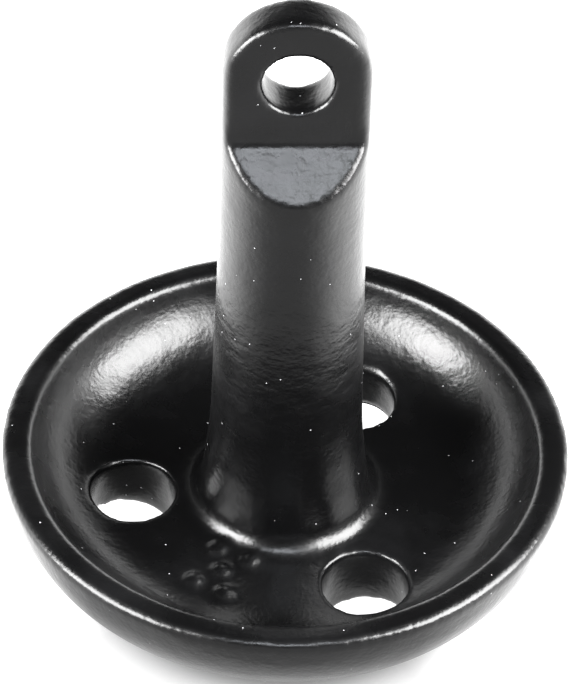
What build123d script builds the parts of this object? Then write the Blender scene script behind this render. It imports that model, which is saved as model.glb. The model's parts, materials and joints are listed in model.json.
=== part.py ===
from build123d import *
import math
import os

os.makedirs("parts", exist_ok=True)

# Mushroom anchor: a cast-iron bowl, shank and eye in one piece, under a dipped vinyl coating.
# The sizes are those of the coated outside, in millimetres. The iron lies one coat thickness
# inside every face. The origin is at the middle of the foot, with +Z up the shank, and the
# hole of the eye runs along Y.

# bowl
rim_radius = 70.75
bowl_height = 36.0          # foot to the top of the rim
rim_width = 7.5             # flat ring at the top of the bowl
wall_draft = 8.0            # degrees that the outer wall leans in below the rim
wall_curve = 29.0           # round stretch between the outer wall and the underside
dome_radius = 193.0         # shallow underside
foot_radius = 21.0          # flat that the anchor stands on
dish_depth = 17.9           # rim to the floor of the dish
dish_curve = 22.8           # hollow stretch between the floor and the rim

# shank
shank_base_radius = 21.4    # at the floor of the dish
flare_radius = 18.8         # where the shank starts to spread toward its root
flare_height = 42.0
flare_curve = 150.0
neck_radius = 17.4          # above the taper, up to the lug
neck_height = 106.0         # foot to the top of the taper
root_fillet = 6.0           # where the shank grows out of the floor
eye_height = 151.9          # foot to the middle of the eye

# eye
lug_thickness = 11.5
eye_radius = 8.2
arch_clearance = 0.2        # how far the round top of the lug stands outside the neck's radius
flat_drop = 16.3            # middle of the eye to the lower edge of the flats
facet_angle = 42.0          # degrees that the facets under the flats lean from level

# drain holes
drain_count = 3
drain_radius = 10.6
drain_circle_radius = 38.0
drain_first_angle = 180.0

# raised pips on the floor of the dish
pip_radius = 1.9
pip_height = 1.2
pip_spread_radial = 6.2     # from the middle pip to the outer ones, along the radius
pip_spread_across = 4.3
pip_circle_radius = 33.0
pip_angle = 240.0
pip_root = 3.0              # how far a pip reaches down into the floor

# coating and rounded edges
coat_thickness = 0.9
rim_edge_radius = 1.7
hole_edge_radius = 1.5      # at both ends of the drain holes and of the eye

overshoot = 10.0            # how far cutting shapes reach past what they cut
same_size = 0.0001          # two radii this close are the same

rim_height = bowl_height
floor_height = bowl_height - dish_depth
arch_radius = neck_radius + arch_clearance
stock_height = eye_height + arch_radius + overshoot


def underside_height(radius):
    """Height of the underside's dome at a distance from the axis."""
    centre_height = math.sqrt(dome_radius**2 - foot_radius**2)
    return centre_height - math.sqrt(dome_radius**2 - radius**2)


def wall_foot():
    """Point where the leaning outer wall would meet the underside's dome.

    The wall is the line radius = radius_at_foot + lean * height, put into the dome's circle.
    """
    lean = math.tan(math.radians(wall_draft))
    radius_at_foot = rim_radius - lean * rim_height
    centre_height = math.sqrt(dome_radius**2 - foot_radius**2)
    a = 1 + lean**2
    b = radius_at_foot * lean - centre_height
    c = radius_at_foot**2 + centre_height**2 - dome_radius**2
    height = (-b - math.sqrt(b**2 - a * c)) / a
    return radius_at_foot + lean * height, height


def dish_foot_radius():
    """Distance from the axis at which the floor of the dish begins to rise."""
    centre_rise = dish_curve - dish_depth
    return rim_radius - rim_width - math.sqrt(dish_curve**2 - centre_rise**2)


def corner_at(outline, point):
    """The corner of a flat outline nearest to a point."""
    return outline.vertices().sort_by_distance(point)[0]


def turned_face():
    """Half section of the bowl and the uncut shank, with X as radius and Y as height."""
    wall_radius, wall_height = wall_foot()
    middle_radius = (foot_radius + wall_radius) / 2
    mouth_radius = rim_radius - rim_width
    dish_start = dish_foot_radius()
    half_sweep = math.asin((mouth_radius - dish_start) / dish_curve) / 2
    dish_middle = (
        dish_start + dish_curve * math.sin(half_sweep),
        floor_height + dish_curve * (1 - math.cos(half_sweep)),
    )
    foot_edge = (foot_radius, 0)
    dome_middle = (middle_radius, underside_height(middle_radius))
    wall_end = (wall_radius, wall_height)
    rim_outside = (rim_radius, rim_height)
    rim_inside = (mouth_radius, rim_height)
    dish_foot = (dish_start, floor_height)
    root = (shank_base_radius, floor_height)
    flare = (flare_radius, flare_height)
    neck = (neck_radius, neck_height)
    stock_top = (neck_radius, stock_height)
    outline = make_face(
        [
            Line((0, 0), foot_edge),
            ThreePointArc(foot_edge, dome_middle, wall_end),
            Line(wall_end, rim_outside),
            Line(rim_outside, rim_inside),
            ThreePointArc(rim_inside, dish_middle, dish_foot),
            Line(dish_foot, root),
            Line(root, flare),
            Line(flare, neck),
            Line(neck, stock_top),
            Line(stock_top, (0, stock_height)),
            Line((0, stock_height), (0, 0)),
        ]
    )
    outline = fillet(corner_at(outline, wall_end), wall_curve)
    outline = fillet(corner_at(outline, rim_outside), rim_edge_radius)
    outline = fillet(corner_at(outline, rim_inside), rim_edge_radius)
    outline = fillet(corner_at(outline, flare), flare_curve)
    return fillet(corner_at(outline, root), root_fillet)


def turned_blank(inset):
    """Bowl and uncut shank turned about Z, with every face moved in by the inset."""
    half = turned_face()
    whole = half + mirror(half, about=Plane.YZ)
    if inset > 0:
        whole = offset(whole, -inset, kind=Kind.INTERSECTION)
    reach = rim_radius + overshoot
    keep = Pos(reach / 2, stock_height / 2) * Rectangle(reach, 2 * stock_height)
    return revolve(Plane.XZ * (whole & keep), Axis.Z)


def drain_cutters(inset):
    """Upright cylinders for the drain holes, evenly spaced about the shank."""
    cylinder = Cylinder(drain_radius + inset, 2 * bowl_height)
    places = PolarLocations(drain_circle_radius, drain_count, drain_first_angle)
    return [place * cylinder for place in places]


def flat_cutter(inset):
    """Wedge above the flat and the facet on the +Y side of the lug."""
    lean = math.radians(facet_angle)
    flat_side = lug_thickness / 2 - inset
    flat_foot = eye_height - flat_drop + inset * math.tan(lean) - inset / math.cos(lean)
    outside = shank_base_radius + overshoot
    facet_foot = flat_foot - (outside - flat_side) * math.tan(lean)
    corners = [
        (flat_side, stock_height + overshoot),
        (flat_side, flat_foot),
        (outside, facet_foot),
        (outside, stock_height + overshoot),
    ]
    wedge = Plane.YZ * make_face(Polyline(*corners, close=True))
    return extrude(wedge, shank_base_radius + overshoot, both=True)


def arch_cutter(inset):
    """What stands outside the round top of the lug, above the middle of the eye."""
    width = 2 * (shank_base_radius + overshoot)
    height = stock_height - eye_height + overshoot
    block = Pos(0, 0, eye_height + height / 2) * Box(width, width, height)
    return block - Pos(0, 0, eye_height) * Rot(X=90) * Cylinder(arch_radius - inset, 2 * width)


def eye_cutter(inset):
    """Cylinder for the hole of the eye, along Y."""
    return Pos(0, 0, eye_height) * Rot(X=90) * Cylinder(eye_radius + inset, 4 * lug_thickness)


def pips(inset):
    """Five raised pips on the floor of the dish, four round one."""
    top = floor_height + pip_height - inset
    depth = pip_height + pip_root
    pip = Pos(0, 0, top - depth / 2) * Cylinder(pip_radius - inset, depth)
    places = [(0, 0)]
    for along in (-pip_spread_radial, pip_spread_radial):
        for across in (-pip_spread_across, pip_spread_across):
            places.append((along, across))
    group = Rot(Z=pip_angle) * Pos(pip_circle_radius, 0)
    return [group * Pos(along, across) * pip for along, across in places]


def anchor_shape(inset):
    """The whole anchor as one solid, with every face moved in by the inset."""
    shape = turned_blank(inset) + pips(inset)
    shape -= drain_cutters(inset)
    wedge = flat_cutter(inset)
    shape -= [wedge, mirror(wedge, about=Plane.XZ), arch_cutter(inset)]
    return shape - eye_cutter(inset)


def iron_casting():
    """Bowl, shank and eye, cast in one piece of grey iron."""
    return anchor_shape(coat_thickness)


def hole_rims(shape, radius):
    """Edges at the ends of the round holes of one radius."""
    walls = [face for face in shape.faces().filter_by(GeomType.CYLINDER) if is_hole(face, radius)]
    return [edge for wall in walls for edge in wall.edges() if edge.geom_type != GeomType.LINE]


def is_hole(face, radius):
    """Whether a cylinder face has a hole's radius. A face cut short may state none."""
    return face.radius is not None and math.isclose(face.radius, radius, abs_tol=same_size)


def vinyl_coating(iron):
    """Closed skin all over the casting, rounded where it runs over the ends of the holes."""
    outside = anchor_shape(0)
    rims = hole_rims(outside, drain_radius) + hole_rims(outside, eye_radius)
    return fillet(rims, hole_edge_radius) - iron


iron = iron_casting()
coat = vinyl_coating(iron)
export_step(iron, "parts/iron_casting.step")
export_step(coat, "parts/vinyl_coating.step")
print("iron volume cm3", round(iron.volume / 1000, 2))
print("coat volume cm3", round(coat.volume / 1000, 2))
print("outside size mm", coat.bounding_box().size)
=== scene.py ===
import json
import math

import bpy
from mathutils import Matrix, Vector


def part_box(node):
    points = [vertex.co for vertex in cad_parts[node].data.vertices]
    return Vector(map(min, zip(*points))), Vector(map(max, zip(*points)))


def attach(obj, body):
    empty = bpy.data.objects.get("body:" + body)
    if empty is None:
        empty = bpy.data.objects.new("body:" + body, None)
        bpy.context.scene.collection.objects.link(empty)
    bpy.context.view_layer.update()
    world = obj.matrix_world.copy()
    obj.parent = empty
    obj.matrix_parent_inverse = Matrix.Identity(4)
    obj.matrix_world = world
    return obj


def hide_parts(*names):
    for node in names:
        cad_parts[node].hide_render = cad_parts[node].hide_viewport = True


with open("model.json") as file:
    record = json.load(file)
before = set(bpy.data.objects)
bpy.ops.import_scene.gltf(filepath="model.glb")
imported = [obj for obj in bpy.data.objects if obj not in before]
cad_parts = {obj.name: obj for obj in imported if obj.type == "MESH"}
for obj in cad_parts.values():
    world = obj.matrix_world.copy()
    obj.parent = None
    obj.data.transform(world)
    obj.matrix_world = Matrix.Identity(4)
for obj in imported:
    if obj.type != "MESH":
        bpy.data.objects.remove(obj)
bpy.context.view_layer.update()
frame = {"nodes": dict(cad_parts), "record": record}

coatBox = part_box("vinyl_coating")
mounts = {mount["name"]: mount for mount in frame["record"]["mounts"]}


# small helpers that build node trees

class Value:
    # wraps a socket, so that sums and products of values read as plain arithmetic

    def __init__(self, maker, socket):
        self.maker = maker
        self.socket = socket

    def maths(self, operation, *others):
        values = dict(enumerate([self, *others]))
        return self.maker.add("ShaderNodeMath", {"operation": operation}, values)

    def __add__(self, other):
        return self.maths("ADD", other)

    def __radd__(self, other):
        return self.maths("ADD", other)

    def __sub__(self, other):
        return self.maths("SUBTRACT", other)

    def __rsub__(self, other):
        return self.maths("MULTIPLY_ADD", -1.0, other)

    def __mul__(self, other):
        return self.maths("MULTIPLY", other)

    def __rmul__(self, other):
        return self.maths("MULTIPLY", other)

    def __truediv__(self, other):
        return self.maths("DIVIDE", other)

    def __rtruediv__(self, other):
        return self.maths("POWER", -1.0) * other

    def power(self, exponent):
        return self.maths("POWER", exponent)

    def greater(self, other):
        return self.maths("MAXIMUM", other)

    def below(self, other):
        return self.maths("LESS_THAN", other)

    def fade(self, start, end):
        # 0 at the start and 1 at the end, smooth in between
        settings = {"interpolation_type": "SMOOTHSTEP"}
        values = {"Value": self, "From Min": start, "From Max": end}
        return self.maker.add("ShaderNodeMapRange", settings, values)


class Maker:
    # adds nodes to one tree

    def __init__(self, tree):
        self.tree = tree

    def add(self, kind, settings=None, values=None, output=0):
        node = self.tree.nodes.new(kind)
        for name, setting in (settings or {}).items():
            setattr(node, name, setting)
        for key, value in (values or {}).items():
            for entry in value if isinstance(value, list) else [value]:
                if isinstance(entry, Value):
                    self.tree.links.new(entry.socket, node.inputs[key])
                else:
                    node.inputs[key].default_value = entry
        return Value(self, node.outputs[output]) if node.outputs else node

    def split(self, vector):
        # the three parts of a vector
        parts = self.add("ShaderNodeSeparateXYZ", None, {"Vector": vector})
        return [Value(self, socket) for socket in parts.socket.node.outputs]

    def mix(self, factor, first, second):
        # the first colour where the factor is 0, the second where it is 1
        values = {"Factor": factor, 6: first, 7: second}
        return self.add("ShaderNodeMix", {"data_type": "RGBA"}, values, 2)


def newForm(name, inputs):
    # a Geometry Nodes group with a geometry input and one named input for each size
    tree = bpy.data.node_groups.new(name, "GeometryNodeTree")
    tree.interface.new_socket("Geometry", in_out="INPUT", socket_type="NodeSocketGeometry")
    tree.interface.new_socket("Geometry", in_out="OUTPUT", socket_type="NodeSocketGeometry")
    for label, (kind, start) in inputs.items():
        socket = tree.interface.new_socket(label, in_out="INPUT", socket_type=kind)
        if start is not None:
            socket.default_value = start
    maker = Maker(tree)
    entry = tree.nodes.new("NodeGroupInput")
    given = {socket.name: Value(maker, socket) for socket in entry.outputs if socket.name}
    return tree, maker, given


def closeForm(maker, shape, material):
    # every form ends by making its copies real and giving them their material
    real = maker.add("GeometryNodeRealizeInstances", None, {"Geometry": shape})
    smooth = maker.add("GeometryNodeSetShadeSmooth", None, {"Geometry": real})
    dressed = maker.add("GeometryNodeSetMaterial", None, {"Geometry": smooth, "Material": material})
    maker.add("NodeGroupOutput", None, {"Geometry": dressed})


def applyForm(piece, tree, settings):
    modifier = piece.modifiers.new(tree.name, "NODES")
    modifier.node_group = tree
    for item in tree.interface.items_tree:
        if item.in_out == "INPUT" and item.name in settings:
            modifier[item.identifier] = settings[item.name]


def settle(piece):
    # turns a piece and its modifiers into one plain mesh
    bpy.context.view_layer.update()
    evaluated = piece.evaluated_get(bpy.context.evaluated_depsgraph_get())
    mesh = bpy.data.meshes.new_from_object(evaluated)
    settled = bpy.data.objects.new(piece.name + "Form", mesh)
    name = piece.name
    bpy.data.objects.remove(piece)
    settled.name = name
    bpy.context.collection.objects.link(settled)
    return settled


def length(start):
    return ("NodeSocketFloat", start)


def count(start):
    return ("NodeSocketInt", start)


# materials

vinyl = {
    "colour": (0.0012, 0.0012, 0.0013, 1.0),
    "bloom": (0.0028, 0.0028, 0.0031, 1.0),      # thin dull film left on the dip
    "bloomSize": 0.03,
    "bloomFrom": 0.45,
    "bloomTo": 0.75,
    "dust": (0.42, 0.42, 0.43, 1.0),
    "roughness": 0.24,
    "roughnessSpread": 0.12,
    "refraction": 1.52,
    "peelSize": 0.0012,         # orange peel, in metres
    "peelDepth": 0.00006,
    "castSize": 0.006,          # soft lumps of the sand casting under the skin
    "castDepth": 0.0002,
    "sagSize": 0.006,           # slack rings where the dip ran down the shank
    "sagDepth": 0.00012,
    "sagSquash": (1.0, 1.0, 2.2),
    "sagLow": 0.04,
    "sagHigh": 0.1,
    "sagLowFade": 0.012,
    "sagHighFade": 0.02,
    "dustPitch": 0.0034,
    "dustRadius": 0.00017,
    "dustShare": 0.5,
    "dustRoughness": 0.7,
}


def vinylMaterial(name):
    material = bpy.data.materials.new(name)
    material.use_nodes = True
    tree = material.node_tree
    tree.nodes.clear()
    maker = Maker(tree)
    place = maker.add("ShaderNodeTexCoord", None, None, "Object")

    def noise(size, detail=2.0, roughness=0.5):
        values = {"Vector": place, "Scale": 1 / size, "Detail": detail, "Roughness": roughness}
        return maker.add("ShaderNodeTexNoise", None, values)

    def cells(pitch, output):
        return maker.add("ShaderNodeTexVoronoi", None, {"Vector": place, "Scale": 1 / pitch}, output)

    lumps = noise(vinyl["castSize"], 3.0)
    peel = noise(vinyl["peelSize"], 1.0)
    squashing = {0: place, 1: vinyl["sagSquash"]}
    squashed = maker.add("ShaderNodeVectorMath", {"operation": "MULTIPLY"}, squashing)
    sagging = {"Vector": squashed, "Scale": 1 / vinyl["sagSize"], "Detail": 2.0}
    sag = maker.add("ShaderNodeTexNoise", None, sagging)
    height = maker.split(place)[2]
    low, high = vinyl["sagLow"], vinyl["sagHigh"]
    rising = height.fade(low, low + vinyl["sagLowFade"])
    slack = rising * (1.0 - height.fade(high - vinyl["sagHighFade"], high))
    patches = noise(vinyl["bloomSize"], 4.0, 0.6)
    speck = cells(vinyl["dustPitch"], "Distance").below(vinyl["dustRadius"] / vinyl["dustPitch"])
    hue = cells(vinyl["dustPitch"], "Color")
    chosen = maker.add("ShaderNodeSeparateColor", None, {"Color": hue})
    dust = speck * chosen.below(vinyl["dustShare"])
    bloom = patches.fade(vinyl["bloomFrom"], vinyl["bloomTo"])
    skin = maker.mix(bloom, vinyl["colour"], vinyl["bloom"])
    colour = maker.mix(dust, skin, vinyl["dust"])
    sheen = vinyl["roughness"] + vinyl["roughnessSpread"] * (0.6 * bloom + 0.4 * lumps)
    roughness = sheen.greater(dust * vinyl["dustRoughness"])
    relief = vinyl["castDepth"] * lumps + vinyl["peelDepth"] * peel + vinyl["sagDepth"] * slack * sag
    bump = maker.add("ShaderNodeBump", None, {"Strength": 1.0, "Distance": 1.0, "Height": relief})
    shader = maker.add("ShaderNodeBsdfPrincipled", None, {
        "Base Color": colour,
        "Roughness": roughness,
        "Normal": bump,
        "IOR": vinyl["refraction"],
    })
    maker.add("ShaderNodeOutputMaterial", None, {"Surface": shader})
    return material


castIron = {
    "colour": (0.12, 0.12, 0.125, 1.0),
    "dark": (0.05, 0.048, 0.047, 1.0),
    "metal": 0.7,
    "roughness": 0.55,
    "roughnessSpread": 0.2,
    "grainSize": 0.0009,
    "grainDepth": 0.00008,
    "stainScale": 60.0,
    "stainFrom": 0.4,
    "stainTo": 0.65,
}


def ironMaterial(name):
    material = bpy.data.materials.new(name)
    material.use_nodes = True
    tree = material.node_tree
    tree.nodes.clear()
    maker = Maker(tree)
    place = maker.add("ShaderNodeTexCoord", None, None, "Object")
    grainValues = {"Vector": place, "Scale": 1 / castIron["grainSize"], "Detail": 4.0}
    grain = maker.add("ShaderNodeTexNoise", None, grainValues)
    stainValues = {"Vector": place, "Scale": castIron["stainScale"], "Detail": 5.0}
    stain = maker.add("ShaderNodeTexNoise", None, stainValues)
    stained = stain.fade(castIron["stainFrom"], castIron["stainTo"])
    colour = maker.mix(stained, castIron["colour"], castIron["dark"])
    relief = castIron["grainDepth"] * grain
    bump = maker.add("ShaderNodeBump", None, {"Distance": 1.0, "Height": relief})
    shader = maker.add("ShaderNodeBsdfPrincipled", None, {
        "Base Color": colour,
        "Metallic": castIron["metal"],
        "Roughness": castIron["roughness"] + castIron["roughnessSpread"] * grain,
        "Normal": bump,
    })
    maker.add("ShaderNodeOutputMaterial", None, {"Surface": shader})
    return material


# the vinyl coating, seen from outside

eye = mounts["eye"]
coat = {
    "bowlHeight": 0.036,
    "rimWidth": 0.0075,
    "rimEdge": 0.0017,
    "wallDraft": math.radians(8),
    "wallCurve": 0.029,
    "domeRadius": 0.193,
    "footRadius": 0.021,
    "dishDepth": 0.0179,
    "dishCurve": 0.0228,
    "shankBase": 0.0214,
    "flareRadius": 0.0188,      # where the shank starts to spread toward its root
    "flareHeight": 0.042,
    "flareCurve": 0.15,
    "neckRadius": 0.0174,
    "neckHeight": 0.106,        # where the taper of the shank ends
    "rootFillet": 0.006,
    "eyeHeight": eye["pos_m"][2],
    "archRadius": 0.0175,
    "eyeRadius": eye["dims"]["r_mm"] / 1000,
    "lugThickness": 0.0115,
    "flatDrop": 0.0163,
    "facetAngle": math.radians(42),
    "drainCount": 3,
    "drainRadius": 0.0106,
    "drainCircle": 0.038,
    "pipRadius": 0.0021,        # a little more than the casting, as the softened faces shrink them
    "pipHeight": 0.0014,
    "pipAlong": 0.0062,
    "pipAcross": 0.0043,
    "pipCircle": 0.033,
    "pipTurn": math.radians(240),
    "neckCurve": 0.6,
    "stockAbove": 0.004,        # how far the uncut shank reaches over the lug
    "turnSteps": 288,
    "outlineSteps": 420,
    "voxel": 0.0009,
    "softSteps": 3,
    "edgeSteps": 8,
    "eyeCollar": 0.0125,        # round the eye, where the edges stay crisper
    "collarFade": 0.002,
    "edgeFoot": 0.138,          # height at which the soft edges of the lug begin
    "edgeFade": 0.006,
    "swell": 0.0002,
    "swellSize": 0.03,
    "rimSwell": 0.0004,
    "rimSwellSize": 0.014,
    "rimSwellFade": 0.006,
    "stillFoot": 0.0005,        # the foot stays level, and the swelling starts above it
    "stillFade": 0.006,
    "seed": 3.0,
}
# the box ends at the rim's rounded edge, and the lean wall would meet the rim a little further out
edgeBeyond = coat["rimEdge"] * (math.tan(coat["wallDraft"]) + 1 / math.cos(coat["wallDraft"]) - 1)
coat["rimRadius"] = (coatBox[1][0] - coatBox[0][0]) / 2 + edgeBeyond


def arcPoints(centre, radius, start, end, steps=24):
    # points of an arc, from one angle to another, both in radians
    angles = [start + (end - start) * step / steps for step in range(steps + 1)]
    return [(centre[0] + radius * math.cos(a), centre[1] + radius * math.sin(a)) for a in angles]


def roundedCorner(before, corner, after, radius):
    # the arc that rounds one corner of an outline
    toBefore = (Vector(before) - Vector(corner)).normalized()
    toAfter = (Vector(after) - Vector(corner)).normalized()
    half = toBefore.angle(toAfter) / 2
    middle = Vector(corner) + (toBefore + toAfter).normalized() * radius / math.sin(half)
    start = Vector(corner) + toBefore * radius / math.tan(half) - middle
    end = Vector(corner) + toAfter * radius / math.tan(half) - middle
    first = math.atan2(start.y, start.x)
    turn = (math.atan2(end.y, end.x) - first + math.pi) % (2 * math.pi) - math.pi
    return arcPoints(middle, radius, first, first + turn)


def domeHeight(radius):
    centre = math.sqrt(coat["domeRadius"] ** 2 - coat["footRadius"] ** 2)
    return centre - math.sqrt(coat["domeRadius"] ** 2 - radius**2)


def turnedOutline():
    # half section of the bowl and the uncut shank as (radius, height), from the foot round to the top
    rimRadius, rimHeight = coat["rimRadius"], coat["bowlHeight"]
    mouth = rimRadius - coat["rimWidth"]
    floor = rimHeight - coat["dishDepth"]
    lean = math.tan(coat["wallDraft"])
    wallFoot = (rimRadius - lean * rimHeight, 0.0)
    for _ in range(30):     # closes in on where the leaning wall meets the dome
        wallFoot = (rimRadius - lean * (rimHeight - wallFoot[1]), domeHeight(wallFoot[0]))
    wallRound = roundedCorner(
        (coat["footRadius"], 0), wallFoot, (rimRadius, rimHeight), coat["wallCurve"]
    )
    domeReach = wallRound[0][0] - coat["footRadius"]
    dome = [coat["footRadius"] + domeReach * step / 12 for step in range(12)]
    centreRise = coat["dishCurve"] - coat["dishDepth"]
    dishStart = mouth - math.sqrt(coat["dishCurve"] ** 2 - centreRise**2)
    dishCentre = (dishStart, floor + coat["dishCurve"])
    mouthAngle = math.atan2(rimHeight - dishCentre[1], mouth - dishCentre[0])
    dish = arcPoints(dishCentre, coat["dishCurve"], mouthAngle, -math.pi / 2, 48)
    dishTop = dish[4]
    top = coatBox[1][2] + coat["stockAbove"]
    root = (coat["shankBase"], floor)
    flare = (coat["flareRadius"], coat["flareHeight"])
    neck = (coat["neckRadius"], coat["neckHeight"])
    outline = [(0.0, 0.0)]
    outline += [(radius, domeHeight(radius)) for radius in dome]
    outline += wallRound
    outline += roundedCorner(wallFoot, (rimRadius, rimHeight), (mouth, rimHeight), coat["rimEdge"])
    outline += roundedCorner((rimRadius, rimHeight), (mouth, rimHeight), dishTop, coat["rimEdge"])
    outline += dish[5:]
    outline += roundedCorner(dish[-1], root, flare, coat["rootFillet"])
    outline += roundedCorner(root, flare, neck, coat["flareCurve"])
    outline += roundedCorner(flare, neck, (coat["neckRadius"], top), coat["neckCurve"])
    outline += [(coat["neckRadius"], top), (0.0, top)]
    return outline


def outlineCurve(name, points):
    curve = bpy.data.curves.new(name, "CURVE")
    curve.dimensions = "3D"
    spline = curve.splines.new("POLY")
    spline.points.add(len(points) - 1)
    for point, (radius, height) in zip(spline.points, points):
        point.co = (radius, 0.0, height, 1.0)
    piece = bpy.data.objects.new(name, curve)
    bpy.context.collection.objects.link(piece)
    return piece


def turnForm():
    # turns the outline about Z, then cuts the drain holes, the eye and the sides of the lug
    tree, maker, given = newForm("anchorTurning", {
        "Turn Steps": count(256),
        "Outline Steps": count(400),
        "Drain Count": count(3),
        "Drain Radius": length(0.011),
        "Drain Circle": length(0.038),
        "Eye Height": length(0.15),
        "Eye Radius": length(0.009),
        "Lug Thickness": length(0.012),
        "Flat Foot": length(0.136),
        "Facet Angle": length(0.7),
        "Arch Radius": length(0.0165),
        "Arch Height": length(0.153),
        "Reach": length(0.2),
        "Pip Radius": length(0.002),
        "Pip Top": length(0.02),
        "Pip Along": length(0.006),
        "Pip Across": length(0.004),
        "Pip Circle": length(0.033),
        "Pip Turn": length(4.2),
        "Material": ("NodeSocketMaterial", None),
    })

    def vector(x=0.0, y=0.0, z=0.0):
        return maker.add("ShaderNodeCombineXYZ", None, {"X": x, "Y": y, "Z": z})

    def moved(shape, place=None, turn=None):
        values = {"Geometry": shape}
        if turn is not None:
            values["Rotation"] = turn
        if place is not None:
            values["Translation"] = place
        return maker.add("GeometryNodeTransform", None, values)

    def block(size, place, turn=None):
        return moved(maker.add("GeometryNodeMeshCube", None, {"Size": size}), place, turn)

    def rod(radius, depth):
        values = {"Vertices": 128, "Radius": radius, "Depth": depth}
        return maker.add("GeometryNodeMeshCylinder", None, values)

    def boolean(operation, first, second):
        settings = {"operation": operation, "solver": "MANIFOLD"}
        values = {"Mesh 2": second} if first is None else {"Mesh 1": first, "Mesh 2": second}
        return maker.add("GeometryNodeMeshBoolean", settings, values)

    reach = given["Reach"]
    eyePlace = vector(z=given["Eye Height"])
    level = (math.pi / 2, 0.0, 0.0)

    # the turned blank: a grid whose rows follow the outline and whose columns go round
    grid = maker.add("GeometryNodeMeshGrid", None, {
        "Size X": 1.0,
        "Size Y": 1.0,
        "Vertices X": given["Turn Steps"],
        "Vertices Y": given["Outline Steps"],
    })
    column, row, _ = maker.split(maker.add("GeometryNodeInputPosition"))
    along = row + 0.5
    turn = (column + 0.5) * (2 * math.pi)
    sample = maker.add(
        "GeometryNodeSampleCurve",
        {"mode": "FACTOR", "use_all_curves": True},
        {"Curves": given["Geometry"], "Factor": along},
        "Position",
    )
    radius, _, height = maker.split(sample)
    place = vector(radius * turn.maths("COSINE"), radius * turn.maths("SINE"), height)
    blank = maker.add("GeometryNodeSetPosition", None, {"Geometry": grid, "Position": place})
    blank = maker.add("GeometryNodeMergeByDistance", None, {"Geometry": blank, "Distance": 0.000001})

    # drain holes
    ringValues = {"Vertices": given["Drain Count"], "Radius": given["Drain Circle"]}
    ring = maker.add("GeometryNodeMeshCircle", None, ringValues)
    ring = moved(ring, None, (0.0, 0.0, math.pi))
    drain = rod(given["Drain Radius"], reach)
    drains = maker.add("GeometryNodeInstanceOnPoints", None, {"Points": ring, "Instance": drain})
    drains = maker.add("GeometryNodeRealizeInstances", None, {"Geometry": drains})

    # eye, round top of the lug, flats and facets
    eyeHole = moved(rod(given["Eye Radius"], reach), eyePlace, level)
    archRod = moved(rod(given["Arch Radius"], reach * 2.0), vector(z=given["Arch Height"]), level)
    above = block(vector(reach, reach, reach), vector(z=given["Arch Height"] + reach * 0.5))
    archWaste = boolean("DIFFERENCE", above, archRod)
    half = given["Lug Thickness"] * 0.5
    beside = block(vector(reach, reach, reach * 4.0), vector(y=half + reach * 0.5))
    wedge = block(vector(reach * 2.0, reach * 4.0, reach), vector(z=reach * 0.5))
    wedge = moved(wedge, vector(y=half, z=given["Flat Foot"]), vector(x=given["Facet Angle"] * -1.0))
    sideWaste = boolean("INTERSECT", None, [beside, wedge])
    otherWaste = moved(sideWaste, None, (0.0, 0.0, math.pi))

    # raised pips: four round one
    corners = maker.add("GeometryNodeMeshGrid", None, {
        "Size X": given["Pip Along"] * 2.0,
        "Size Y": given["Pip Across"] * 2.0,
        "Vertices X": 2,
        "Vertices Y": 2,
    })
    middle = maker.add("GeometryNodeMeshLine", None, {"Count": 1})
    spots = maker.add("GeometryNodeJoinGeometry", None, {"Geometry": [corners, middle]})
    spots = moved(spots, vector(x=given["Pip Circle"], z=given["Pip Top"] - given["Pip Radius"]))
    spots = moved(spots, None, vector(z=given["Pip Turn"]))
    pip = rod(given["Pip Radius"], given["Pip Radius"] * 2.0)
    pips = maker.add("GeometryNodeInstanceOnPoints", None, {"Points": spots, "Instance": pip})
    pips = maker.add("GeometryNodeRealizeInstances", None, {"Geometry": pips})

    cut = boolean("DIFFERENCE", blank, [drains, eyeHole, archWaste, sideWaste, otherWaste])
    whole = maker.add("GeometryNodeJoinGeometry", None, {"Geometry": [cut, pips]})
    closeForm(maker, whole, given["Material"])
    return tree


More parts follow.
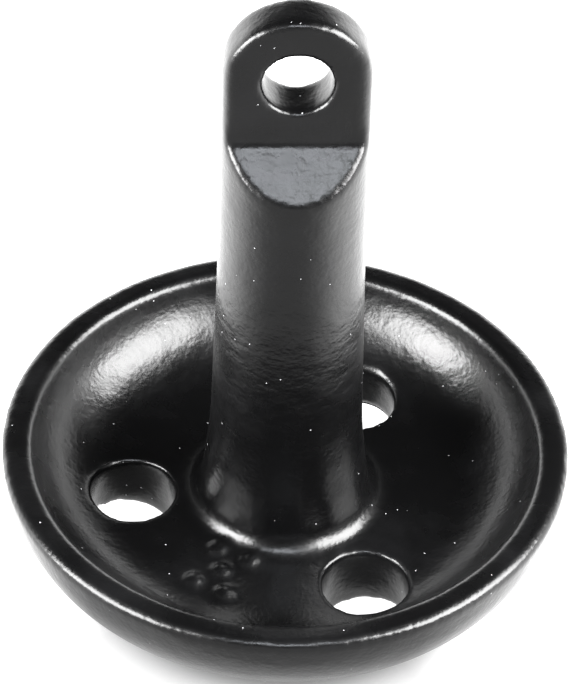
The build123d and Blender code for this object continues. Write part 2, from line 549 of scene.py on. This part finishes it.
def skinForm():
    # softens the edges, most of all those of the lug, then adds the unevenness of the skin
    tree, maker, given = newForm("castSkin", {
        "Soft Steps": count(4),
        "Edge Steps": count(12),
        "Eye Height": length(0.15),
        "Eye Collar": length(0.0125),
        "Edge Foot": length(0.138),
        "Swell": length(0.0002),
        "Swell Size": length(0.03),
        "Rim Swell": length(0.0003),
        "Rim Size": length(0.012),
        "Rim Height": length(0.036),
        "Seed": length(3.0),
        "Material": ("NodeSocketMaterial", None),
    })

    def blurred(shape, steps, weight):
        place = maker.add("GeometryNodeInputPosition")
        settings = {"data_type": "FLOAT_VECTOR"}
        values = {"Value": place, "Iterations": steps, "Weight": weight}
        soft = maker.add("GeometryNodeBlurAttribute", settings, values)
        return maker.add("GeometryNodeSetPosition", None, {"Geometry": shape, "Position": soft})

    across, _, height = maker.split(maker.add("GeometryNodeInputPosition"))
    above = height - given["Eye Height"]
    fromEye = (across * across + above * above).power(0.5)
    outside = (fromEye - given["Eye Collar"]).fade(0.0, coat["collarFade"])
    lug = (height - given["Edge Foot"]).fade(0.0, coat["edgeFade"]) * outside
    shape = blurred(given["Geometry"], given["Soft Steps"], 1.0)
    shape = blurred(shape, given["Edge Steps"], lug)

    position = maker.add("GeometryNodeInputPosition")
    normal = maker.add("GeometryNodeInputNormal")

    def swell(depth, size):
        values = {"Vector": position, "W": given["Seed"], "Scale": 1.0 / size, "Detail": 2.0}
        noise = maker.add("ShaderNodeTexNoise", {"noise_dimensions": "4D"}, values)
        return (noise - 0.5) * depth

    fromRim = (height - given["Rim Height"]).maths("ABSOLUTE")
    nearRim = 1.0 - fromRim.fade(0.0, coat["rimSwellFade"])
    wide = swell(given["Swell"], given["Swell Size"])
    push = wide + nearRim * swell(given["Rim Swell"], given["Rim Size"])
    push = push * height.fade(coat["stillFoot"], coat["stillFade"])
    offset = maker.add("ShaderNodeVectorMath", {"operation": "SCALE"}, {0: normal, "Scale": push})
    shape = maker.add("GeometryNodeSetPosition", None, {"Geometry": shape, "Offset": offset})
    closeForm(maker, shape, given["Material"])
    return tree


def makeCoat():
    outline = outlineCurve("vinylSkin", turnedOutline())
    floor = coat["bowlHeight"] - coat["dishDepth"]
    material = vinylMaterial("dippedVinyl")
    applyForm(outline, turnForm(), {
        "Turn Steps": coat["turnSteps"],
        "Outline Steps": coat["outlineSteps"],
        "Drain Count": coat["drainCount"],
        "Drain Radius": coat["drainRadius"],
        "Drain Circle": coat["drainCircle"],
        "Eye Height": coat["eyeHeight"],
        "Eye Radius": coat["eyeRadius"],
        "Lug Thickness": coat["lugThickness"],
        "Flat Foot": coat["eyeHeight"] - coat["flatDrop"],
        "Facet Angle": coat["facetAngle"],
        "Arch Radius": coat["archRadius"],
        "Arch Height": coatBox[1][2] - coat["archRadius"],
        "Reach": coatBox[1][2],
        "Pip Radius": coat["pipRadius"],
        "Pip Top": floor + coat["pipHeight"],
        "Pip Along": coat["pipAlong"],
        "Pip Across": coat["pipAcross"],
        "Pip Circle": coat["pipCircle"],
        "Pip Turn": coat["pipTurn"],
        "Material": material,
    })
    piece = settle(outline)
    remesh = piece.modifiers.new("evenFaces", "REMESH")
    remesh.mode = "VOXEL"
    remesh.voxel_size = coat["voxel"]
    remesh.use_smooth_shade = True
    applyForm(piece, skinForm(), {
        "Soft Steps": coat["softSteps"],
        "Edge Steps": coat["edgeSteps"],
        "Eye Height": coat["eyeHeight"],
        "Eye Collar": coat["eyeCollar"],
        "Edge Foot": coat["edgeFoot"],
        "Swell": coat["swell"],
        "Swell Size": coat["swellSize"],
        "Rim Swell": coat["rimSwell"],
        "Rim Size": coat["rimSwellSize"],
        "Rim Height": coat["bowlHeight"],
        "Seed": coat["seed"],
        "Material": material,
    })
    piece = settle(piece)
    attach(piece, "root")
    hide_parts("vinyl_coating")
    print("coat:", len(piece.data.polygons), "faces")
    return piece


coatPiece = makeCoat()


# the iron casting, hidden under the coat

iron = frame["nodes"]["iron_casting"]
iron.data.materials.clear()
iron.data.materials.append(ironMaterial("greyCastIron"))
print("iron casting has its material")


# camera, floor and lights

view = {
    "azimuth": math.radians(-2.92),
    "elevation": math.radians(42.1),
    "roll": math.radians(1.77),
    "target": (-0.00216, 0.0, 0.07548),
    "distance": 0.91,
    "lens": 198.4,
    "sensor": 36.0,
    "shiftX": 0.0059,
    "shiftY": -0.0322,
}


def placeCamera():
    azimuth, elevation = view["azimuth"], view["elevation"]
    back = Vector((
        math.sin(azimuth) * math.cos(elevation),
        -math.cos(azimuth) * math.cos(elevation),
        math.sin(elevation),
    ))
    data = bpy.data.cameras.new("camera")
    data.lens = view["lens"]
    data.sensor_width = view["sensor"]
    data.shift_x = view["shiftX"]
    data.shift_y = view["shiftY"]
    data.clip_start = 0.01
    camera = bpy.data.objects.new("camera", data)
    bpy.context.collection.objects.link(camera)
    facing = back.to_track_quat("Z", "Y").to_matrix().to_4x4()
    place = Matrix.Translation(Vector(view["target"]) + back * view["distance"])
    camera.matrix_world = place @ facing @ Matrix.Rotation(view["roll"], 4, "Z")
    bpy.context.scene.camera = camera


studio = {
    "floorColour": (0.5, 0.5, 0.5, 1.0),
    "floorGlow": 3.4,           # light of the floor behind and beside the anchor
    "frontGlow": 0.6,           # in front of it, dimmer: painted shadow of the anchor
    "nearGlow": 1.03,           # in front of it, close by
    "frontTurn": math.radians(-10),
    "frontFrom": -0.05,
    "frontTo": 0.98,
    "nearFrom": 0.074,
    "nearTo": 0.083,
    "paintedShadeGlow": 0.08,          # and under the bowl, darkest: painted shadow of the bowl
    "shadeFrom": 0.045,
    "shadeTo": 0.061,
    "spotWidth": 0.0105,        # painted light on the floor, as if falling through the drain holes, in low ovals
    "spotShift": 0.0105,
    "spotSquash": 2.0,
    "spotSharpness": 0.85,
    "paintedSpotGlow": 1.3,
    "floorSize": 6.0,
    "skyLow": 4.0,
    "skyHigh": 0.03,
    "skyTop": 0.48,             # how high the bright low sky reaches
    "skyFront": 0.85,           # how much darker it is in front of the anchor
    "skyFrontTo": 0.8,
}
lights = {
    # azimuth from +X towards +Y and elevation in degrees, distance and size in metres, power in watts
    "softRight": {
        "azimuth": -20,
        "elevation": 36,
        "distance": 0.8,
        "size": (0.75, 0.5),
        "power": 29,
        "colour": (1.0, 1.0, 1.0),
    },
    "softLeft": {
        "azimuth": 203,
        "elevation": 27,
        "distance": 0.8,
        "size": (0.56, 0.5),
        "power": 24,
        "colour": (1.0, 1.0, 1.0),
    },
    "softTop": {
        "azimuth": -90,
        "elevation": 57,
        "distance": 1.1,
        "size": (0.36, 0.25),
        "power": 3.6,
        "colour": (0.9, 0.94, 1.0),
    },
}


def placeLight(name, light, lit):
    azimuth, elevation = math.radians(light["azimuth"]), math.radians(light["elevation"])
    direction = Vector((
        math.cos(azimuth) * math.cos(elevation),
        math.sin(azimuth) * math.cos(elevation),
        math.sin(elevation),
    ))
    data = bpy.data.lights.new(name, "AREA")
    data.shape = "RECTANGLE"
    data.size, data.size_y = light["size"]
    data.energy = light["power"]
    data.color = light["colour"]
    lamp = bpy.data.objects.new(name, data)
    bpy.context.collection.objects.link(lamp)
    lamp.matrix_world = (
        Matrix.Translation(Vector((0, 0, coat["bowlHeight"])) + direction * light["distance"])
        @ direction.to_track_quat("Z", "Y").to_matrix().to_4x4()
    )
    lamp.light_linking.receiver_collection = lit


def makeFloor():
    side = studio["floorSize"] / 2
    mesh = bpy.data.meshes.new("floor")
    corners = [(-side, -side, 0), (side, -side, 0), (side, side, 0), (-side, side, 0)]
    mesh.from_pydata(corners, [], [(0, 1, 2, 3)])
    floor = bpy.data.objects.new("floor", mesh)
    bpy.context.collection.objects.link(floor)
    material = bpy.data.materials.new("paleFloor")
    material.use_nodes = True
    tree = material.node_tree
    tree.nodes.clear()
    maker = Maker(tree)
    place = maker.add("ShaderNodeTexCoord", None, None, "Object")
    right, back, _ = maker.split(place)

    def farFrom(x, y):
        # distance on the floor from a point of it
        values = {0: place, 1: (x, y, 0.0)}
        return maker.add("ShaderNodeVectorMath", {"operation": "DISTANCE"}, values, "Value")

    # 1 straight in front of the anchor, 0 beside it
    sideward, forward = math.sin(studio["frontTurn"]), -math.cos(studio["frontTurn"])
    reached = right * sideward + back * forward
    ahead = reached / farFrom(0.0, 0.0).greater(0.001)
    front = ahead.fade(studio["frontFrom"], studio["frontTo"])
    # painted shade: the glow is dimmer in front of the anchor, as if in its shadow
    glow = studio["floorGlow"] - front * (studio["floorGlow"] - studio["frontGlow"])
    near = 1.0 - (back * -1.0).fade(studio["nearFrom"], studio["nearTo"])
    glow = glow.greater(studio["nearGlow"] * near)
    # painted shadow under the bowl: the glow drops close round the anchor's foot
    paintedShade = 1.0 - farFrom(0.0, 0.0).fade(studio["shadeFrom"], studio["shadeTo"])
    glow = glow - paintedShade * (glow - studio["paintedShadeGlow"])
    # painted light: a bright oval on the floor under each drain hole
    for turn in range(coat["drainCount"]):
        angle = math.pi + 2 * math.pi * turn / coat["drainCount"]
        x, y = coat["drainCircle"] * math.cos(angle), coat["drainCircle"] * math.sin(angle)
        across = right - x
        along = (back - (y + studio["spotShift"])) * studio["spotSquash"]
        away = (across * across + along * along).power(0.5)
        inner = studio["spotWidth"] * studio["spotSharpness"]
        paintedSpot = 1.0 - away.fade(inner, studio["spotWidth"])
        glow = glow.greater(paintedSpot * studio["paintedSpotGlow"])
    shader = maker.add("ShaderNodeBsdfPrincipled", None, {
        "Base Color": studio["floorColour"],
        "Roughness": 0.9,
        "Emission Color": glow,
        "Emission Strength": 1.0,
    })
    maker.add("ShaderNodeOutputMaterial", None, {"Surface": shader})
    mesh.materials.append(material)


def makeSky():
    world = bpy.data.worlds.new("studioSky")
    world.use_nodes = True
    tree = world.node_tree
    tree.nodes.clear()
    maker = Maker(tree)
    _, back, up = maker.split(maker.add("ShaderNodeTexCoord", None, None, "Generated"))
    ahead = back * -1.0
    low = studio["skyLow"] * (1.0 - studio["skyFront"] * ahead.fade(0.0, studio["skyFrontTo"]))
    tone = low - up.fade(0.0, studio["skyTop"]) * (low - studio["skyHigh"])
    background = maker.add("ShaderNodeBackground", None, {"Color": tone, "Strength": 1.0})
    maker.add("ShaderNodeOutputWorld", None, {"Surface": background})
    bpy.context.scene.world = world


placeCamera()
makeFloor()
makeSky()
lit = bpy.data.collections.new("litByLamps")
for piece in (coatPiece, iron):
    lit.objects.link(piece)
for name, light in lights.items():
    placeLight(name, light, lit)
bpy.context.scene.view_settings.view_transform = "Standard"
print("camera, floor and lights are in place")
